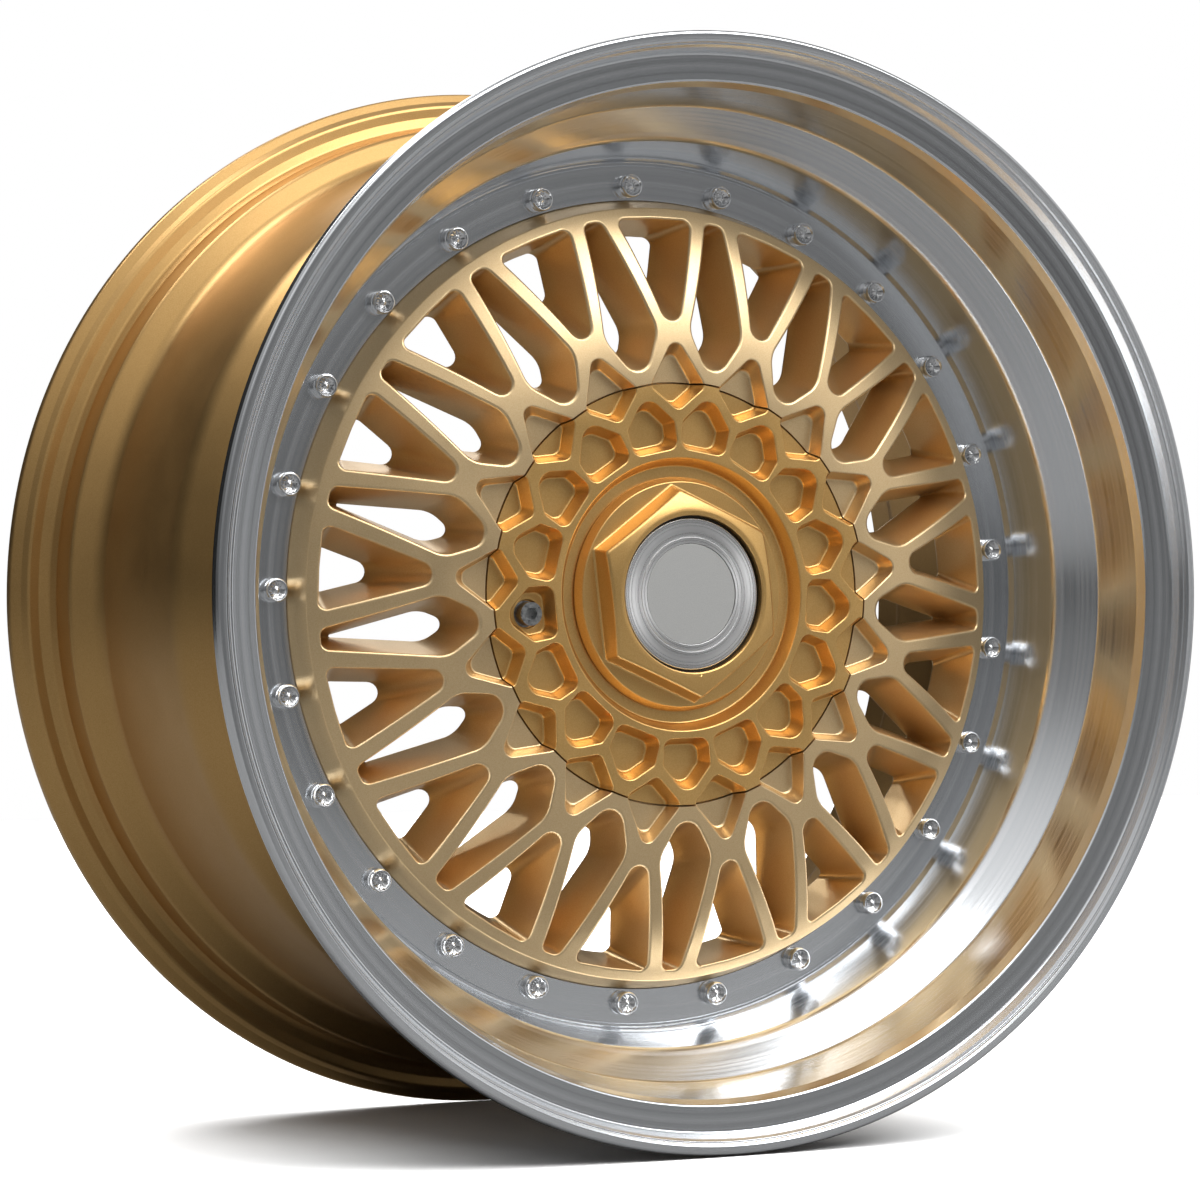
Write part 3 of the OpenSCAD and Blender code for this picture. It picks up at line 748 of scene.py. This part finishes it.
def stud_nuts():
    """Round nuts on the lip's flange: grooved collar, polished rim and a starburst socket."""
    front = joint_depth - 5.3
    shell = Shell()
    count = 72
    star = 1 + 0.16 * np.cos(12 * 2 * math.pi * np.arange(count) / count)
    collar = profile([
        (3.9, front + 0.5, 0.2), (4.2, front, 0.2), (4.6, front + 0.1, 0.3), (5, front + 0.8, 0.2),
        (5, front + 1.9, 0.15), (4.5, front + 2.3, 0.15), (4.5, front + 2.7, 0.15), (5, front + 3.1, 0.15),
        (5, joint_depth, 0)], 3)
    for i in range(bolt_n):
        angle = roll + 2 * math.pi * i / bolt_n
        centre = np.array([bolt_circle_r * math.cos(angle), bolt_circle_r * math.sin(angle)])
        rings = spin(shell, collar, count, centre)
        directions = circle(1, count)
        last = rings[0]
        for r, depth, wave, lean in ((3.2, front + 1.3, 0.5, 0.5), (2.2, front + 2.1, 1, 0.6),
                                     (1.1, front + 1.2, 0.4, -0.6), (0.2, front + 0.7, 0, -0.3)):
            radii = r * (1 + (star - 1) * wave * 2)
            normal = np.column_stack([-directions * lean, np.full(count, -1)])
            row = shell.ring(directions * radii[:, None] + centre, depth + (star - 1) * wave * 3, normal)
            shell.band(last, row)
            last = row
        shell.patch(last)
    return shell.piece("stud_nuts", chromed_steel(), "wheel", "spiked_nuts")


def emblem():
    """Brushed ring with one turned line, round a matt middle; left blank."""
    ring_shell = Shell()
    front = 39.1
    spin(ring_shell, profile([
        (21.7, front + 1.2, 0), (21.7, front, 0.2), (24.2, front, 0.1), (24.4, front + 0.25, 0.05),
        (24.7, front + 0.25, 0.05), (24.9, front, 0.1), (32.3, front, 0.35), (32.3, front + 1.2, 0)]), 240,
        closed=True)
    ring_piece = ring_shell.piece("emblem_ring", brushed_aluminium(), "nut", "emblem_disc")
    middle = Shell()
    path = [(0.5, front + 0.3, 0), (21.5, front + 0.3, 0.15), (21.5, front + 1.2, 0)]
    rows = spin(middle, profile(path), 240)
    middle.patch(rows[0])
    back = middle.again(rows[-1], (0, 0, 1))
    middle.patch(back)
    return ring_piece, middle.piece("emblem_middle", matt_aluminium(), "nut", "emblem_inlay")


# ---------- finishes ----------

def linear(code):
    """An sRGB hex colour as linear red, green, blue and alpha."""
    parts = [int(code[i:i + 2], 16) / 255 for i in (0, 2, 4)]
    return tuple(c / 12.92 if c <= 0.04045 else ((c + 0.055) / 1.055) ** 2.4 for c in parts) + (1,)


def add(tree, kind, inputs=None, **settings):
    """Adds a node; inputs maps a socket's name or number to a value or to the socket that feeds it."""
    node = tree.nodes.new("ShaderNode" + kind)
    for name, value in settings.items():
        setattr(node, name, value)
    for name, value in (inputs or {}).items():
        if isinstance(value, bpy.types.NodeSocket):
            tree.links.new(value, node.inputs[name])
        else:
            node.inputs[name].default_value = value
    return node


def new_material(name, metallic, roughness, coat=0.0, coat_roughness=0.1):
    material = bpy.data.materials.new(name)
    material.use_nodes = True
    tree = material.node_tree
    shader = tree.nodes["Principled BSDF"]
    shader.inputs["Metallic"].default_value = metallic
    shader.inputs["Roughness"].default_value = roughness
    shader.inputs["Coat Weight"].default_value = coat
    shader.inputs["Coat Roughness"].default_value = coat_roughness
    spot = add(tree, "TexCoord").outputs["Object"]
    return material, tree, shader, spot


def colour_between(tree, factor, low, high):
    """A colour that runs from low to high, both sRGB hex."""
    ramp = add(tree, "ValToRGB", {"Fac": factor})
    ramp.color_ramp.elements[0].color = linear(low)
    ramp.color_ramp.elements[1].color = linear(high)
    ramp.color_ramp.elements[0].position = 0.3
    ramp.color_ramp.elements[1].position = 0.7
    return ramp.outputs["Color"]


def between(tree, factor, low, high):
    """A number that runs from low to high with factor."""
    return add(tree, "MapRange", {"Value": factor, "From Min": 0.3, "From Max": 0.7,
                                  "To Min": low, "To Max": high}).outputs["Result"]


def grain(tree, spot, size_mm, detail=2.0):
    """Noise whose lumps are about size_mm across."""
    noise = add(tree, "TexNoise", {"Vector": spot, "Scale": 1 / (size_mm * MM), "Detail": detail})
    return noise.outputs["Fac"]


def dent(tree, shader, height, depth_mm, strength=1.0):
    bump = add(tree, "Bump", {"Height": height, "Distance": depth_mm * MM, "Strength": strength})
    tree.links.new(bump.outputs["Normal"], shader.inputs["Normal"])


def metal_flake_lacquer(name, low, high, roughness):
    """Coloured lacquer with fine aluminium flake over forged aluminium: satin, with a soft sparkle.
    Flake is 0.05 mm across; it is drawn at 0.5 mm so that it shows."""
    material, tree, shader, spot = new_material(name, 0.9, roughness, 0.12, 0.3)
    flake = grain(tree, spot, 0.5, 3.0)
    cloud = grain(tree, spot, 25.0)
    tree.links.new(colour_between(tree, flake, low, high), shader.inputs["Base Color"])
    tree.links.new(between(tree, cloud, roughness - 0.03, roughness + 0.05), shader.inputs["Roughness"])
    dent(tree, shader, flake, 0.02, 0.5)
    return material


def champagne_lacquer(name, low, high):
    """Pale champagne lacquer: the disc's ribs catch the light as a soft cream."""
    return metal_flake_lacquer(name, low, high, 0.35)


def gold_lacquer():
    """Deeper gold lacquer of the cover and its nut, more yellow than the disc."""
    return metal_flake_lacquer("deep_gold_lacquer", "E2B268", "EDC27E", 0.34)


def turned_metal(name, low, high, roughness, line_mm, depth_mm, metallic=1.0):
    """Metal finished on a lathe: fine rings round the axle that draw reflections out.
    The real rings are about 0.1 mm apart; they are drawn line_mm apart so that they show."""
    material, tree, shader, spot = new_material(name, metallic, roughness)
    split = add(tree, "SeparateXYZ", {"Vector": spot})
    across = add(tree, "CombineXYZ", {"X": split.outputs["X"], "Y": split.outputs["Z"]})
    radius = add(tree, "VectorMath", {0: across.outputs["Vector"]}, operation="LENGTH").outputs["Value"]
    track = add(tree, "CombineXYZ", {"X": radius, "Y": split.outputs["Y"]}).outputs["Vector"]
    lines = grain(tree, track, line_mm, 2.0)
    tree.links.new(colour_between(tree, lines, low, high), shader.inputs["Base Color"])
    tree.links.new(between(tree, lines, roughness * 0.8, roughness * 1.3), shader.inputs["Roughness"])
    dent(tree, shader, lines, depth_mm, 0.3)
    return material, tree, shader, spot


def polished_aluminium():
    """Turned and polished aluminium under clear lacquer: a near mirror with faint turning rings."""
    material, _, shader, _ = turned_metal("polished_aluminium", "E0E3E6", "E9EBEE", 0.2, 1.6, 0.003)
    shader.inputs["Coat Weight"].default_value = 0.25
    shader.inputs["Coat Roughness"].default_value = 0.04
    return material


def brushed_aluminium():
    """Aluminium brushed in circles: the light fans out across it."""
    material, tree, shader, _ = turned_metal("brushed_aluminium", "EDEDED", "F8F8F8", 0.3, 0.9, 0.003)
    shader.inputs["Anisotropic"].default_value = 0.8
    round_axle = add(tree, "Tangent", direction_type="RADIAL", axis="Y")
    tree.links.new(round_axle.outputs["Tangent"], shader.inputs["Tangent"])
    return material


def matt_aluminium():
    """Blasted and clear anodised aluminium: even and grey, without a mirror."""
    material, tree, shader, spot = new_material("matt_aluminium", 0.85, 0.45)
    fine = grain(tree, spot, 0.3, 3.0)
    tree.links.new(colour_between(tree, fine, "CFCFCD", "DEDEDB"), shader.inputs["Base Color"])
    dent(tree, shader, fine, 0.02, 0.5)
    return material


def chromed_steel():
    """Chromed steel nuts: bright, with dark reflections in the socket."""
    material, tree, shader, spot = new_material("chromed_steel", 1.0, 0.08)
    haze = grain(tree, spot, 2.0)
    tree.links.new(colour_between(tree, haze, "DADBDC", "EDEDEE"), shader.inputs["Base Color"])
    tree.links.new(between(tree, haze, 0.05, 0.12), shader.inputs["Roughness"])
    return material


def zinc_steel():
    """Zinc-plated steel of bolts and washers: grey, with a faint crystal mottle."""
    material, tree, shader, spot = new_material("zinc_plated_steel", 1.0, 0.32)
    mottle = grain(tree, spot, 1.2, 3.0)
    tree.links.new(colour_between(tree, mottle, "8E9092", "B5B6B5"), shader.inputs["Base Color"])
    tree.links.new(between(tree, mottle, 0.26, 0.42), shader.inputs["Roughness"])
    dent(tree, shader, mottle, 0.01, 0.4)
    return material


def yellow_brass():
    """Turned brass of the valve and the screw's insert."""
    return turned_metal("yellow_brass", "B8934A", "D4B065", 0.28, 0.3, 0.01)[0]


def machined_aluminium():
    """Plain turned aluminium of the carrier behind the cover."""
    return turned_metal("machined_aluminium", "B9BBBC", "D6D7D7", 0.3, 0.4, 0.01)[0]


def black_nylon():
    """Moulded black nylon: fine spark-eroded grain."""
    material, tree, shader, spot = new_material("black_nylon", 0.0, 0.55)
    fine = grain(tree, spot, 0.35, 3.0)
    tree.links.new(colour_between(tree, fine, "0B0B0B", "191919"), shader.inputs["Base Color"])
    dent(tree, shader, fine, 0.03, 0.6)
    return material


def soft_rubber(name, low, high):
    """Moulded rubber or sealant: dull, with slow unevenness."""
    material, tree, shader, spot = new_material(name, 0.0, 0.75)
    slow = grain(tree, spot, 3.0, 3.0)
    tree.links.new(colour_between(tree, slow, low, high), shader.inputs["Base Color"])
    dent(tree, shader, slow, 0.1, 0.5)
    return material


def finish_cad_nodes():
    """Gives every piece that stays as the CAD made it its own finish."""
    finishes = {
        "bolt_steel": zinc_steel(), "seat_steel": zinc_steel(), "brass_fitting": yellow_brass(),
        "carrier_aluminium": machined_aluminium(), "black_plastic": black_nylon(),
        "black_rubber": soft_rubber("black_rubber", "0C0C0C", "1B1B1B"),
        "sealant": soft_rubber("grey_sealant", "77776F", "94948B"),
    }
    for name, thing in frame["nodes"].items():
        material = finishes.get(slot_of[name])
        if material:
            thing.data.materials.clear()
            thing.data.materials.append(material)


# ---------- studio ----------

def studio_floor():
    """A plain pale floor under the rim, pale to the camera and darker in the metal's reflections."""
    size = 3.0
    mesh = bpy.data.meshes.new("floor")
    low = cad_low.z - 0.0005
    corners = [(-size, -size, low), (size, -size, low), (size, size, low), (-size, size, low)]
    mesh.from_pydata(corners, [], [(0, 1, 2, 3)])
    material, tree, shader, spot = new_material("pale_floor", 0.0, 0.7)
    shader.inputs["Specular IOR Level"].default_value = 0.1
    pale = colour_between(tree, grain(tree, spot, 40.0), "FAFAFA", "FDFDFD")
    dark = colour_between(tree, grain(tree, spot, 40.0), "5A5A5A", "5E5E5E")
    seen = add(tree, "LightPath").outputs["Is Camera Ray"]
    mixed = add(tree, "Mix", {0: seen, 6: dark, 7: pale}, data_type="RGBA").outputs[2]
    tree.links.new(mixed, shader.inputs["Base Color"])
    mesh.materials.append(material)
    floor = bpy.data.objects.new("floor", mesh)
    bpy.context.scene.collection.objects.link(floor)
    return floor


def softbox(name, place, aim, width, height, watts):
    """A soft rectangular light at place, pointing at aim."""
    data = bpy.data.lights.new(name, "AREA")
    data.shape = "RECTANGLE"
    data.size = width
    data.size_y = height
    data.energy = watts
    lamp = bpy.data.objects.new(name, data)
    lamp.location = place
    lamp.rotation_euler = (Vector(aim) - Vector(place)).to_track_quat("-Z", "Y").to_euler()
    lamp.visible_camera = False
    bpy.context.scene.collection.objects.link(lamp)
    return lamp


def floor_light(floor):
    """A wide soft light that falls on the floor alone, so that it stays white round the rim's shadow."""
    lamp = softbox("floor_light", (0.4, 0.2, 3.2), (0, 0, 0), 6, 6, 420)
    only = bpy.data.collections.new("floor_only")
    only.objects.link(floor)
    lamp.light_linking.receiver_collection = only


def studio_world():
    """White to the camera; for the light itself, bright overhead, dark low down and behind."""
    world = bpy.data.worlds.new("studio")
    bpy.context.scene.world = world
    world.use_nodes = True
    tree = world.node_tree
    tree.nodes.clear()
    way = add(tree, "TexCoord").outputs["Generated"]
    height = add(tree, "SeparateXYZ", {"Vector": way}).outputs["Z"]
    share = add(tree, "MapRange", {"Value": height, "From Min": -1.0, "From Max": 1.0}).outputs["Result"]
    shades = add(tree, "ValToRGB", {"Fac": share})
    ramp = shades.color_ramp
    ramp.interpolation = "EASE"
    ramp.elements[0].color = (0.02, 0.02, 0.02, 1)
    ramp.elements[0].position = 0.42
    ramp.elements[1].color = (0.85, 0.85, 0.85, 1)
    ramp.elements[1].position = 0.95
    middle = ramp.elements.new(0.6)
    middle.color = (0.17, 0.17, 0.17, 1)
    side = add(tree, "MapRange", {
        "Value": add(tree, "SeparateXYZ", {"Vector": way}).outputs["Y"],
        "From Min": 0.7, "From Max": -0.5, "To Min": 0.1, "To Max": 1.2}).outputs["Result"]
    soft = add(tree, "Background", {"Color": shades.outputs["Color"], "Strength": side})
    white = add(tree, "Background", {"Color": (1, 1, 1, 1), "Strength": 1.0})
    seen = add(tree, "LightPath").outputs["Is Camera Ray"]
    mixed = add(tree, "MixShader", {0: seen, 1: soft.outputs[0], 2: white.outputs[0]})
    add(tree, "OutputWorld", {"Surface": mixed.outputs[0]})


def camera():
    """Three-quarter view from the left, level with the axle."""
    data = bpy.data.cameras.new("camera")
    data.sensor_width = 36
    data.lens = 124.87
    data.shift_x = 0.0072
    data.shift_y = 0.0302
    data.clip_end = 50
    view = bpy.data.objects.new("camera", data)
    view.location = (-0.8714, -1.6318, -0.01805)
    view.rotation_euler = (math.radians(90), 0, math.radians(-27.96))
    bpy.context.scene.collection.objects.link(view)
    bpy.context.scene.camera = view


camera()
floor_light(studio_floor())
studio_world()
softbox("overhead", (0.3, -0.9, 2.4), (0, 0, 0), 2.4, 1.4, 36)
softbox("front_right", (1.3, -2.3, 2.0), (0, 0, 0), 1.8, 1.2, 33)
softbox("right", (2.6, -2.0, 0.5), (0, 0, 0), 1.6, 2.2, 6)
softbox("rear_left", (-0.9, 1.2, 2.4), (-0.1, 0.1, 0.1), 1.0, 1.2, 20)
softbox("rear", (1.0, 2.6, 1.4), (0, 0, 0), 1.4, 1.2, 9)
bpy.context.scene.view_settings.view_transform = "Standard"

rim_lip()
rim_barrel()
mesh_disc()
cover_plate()
centre_nut()
stud_nuts()
emblem()
finish_cad_nodes()
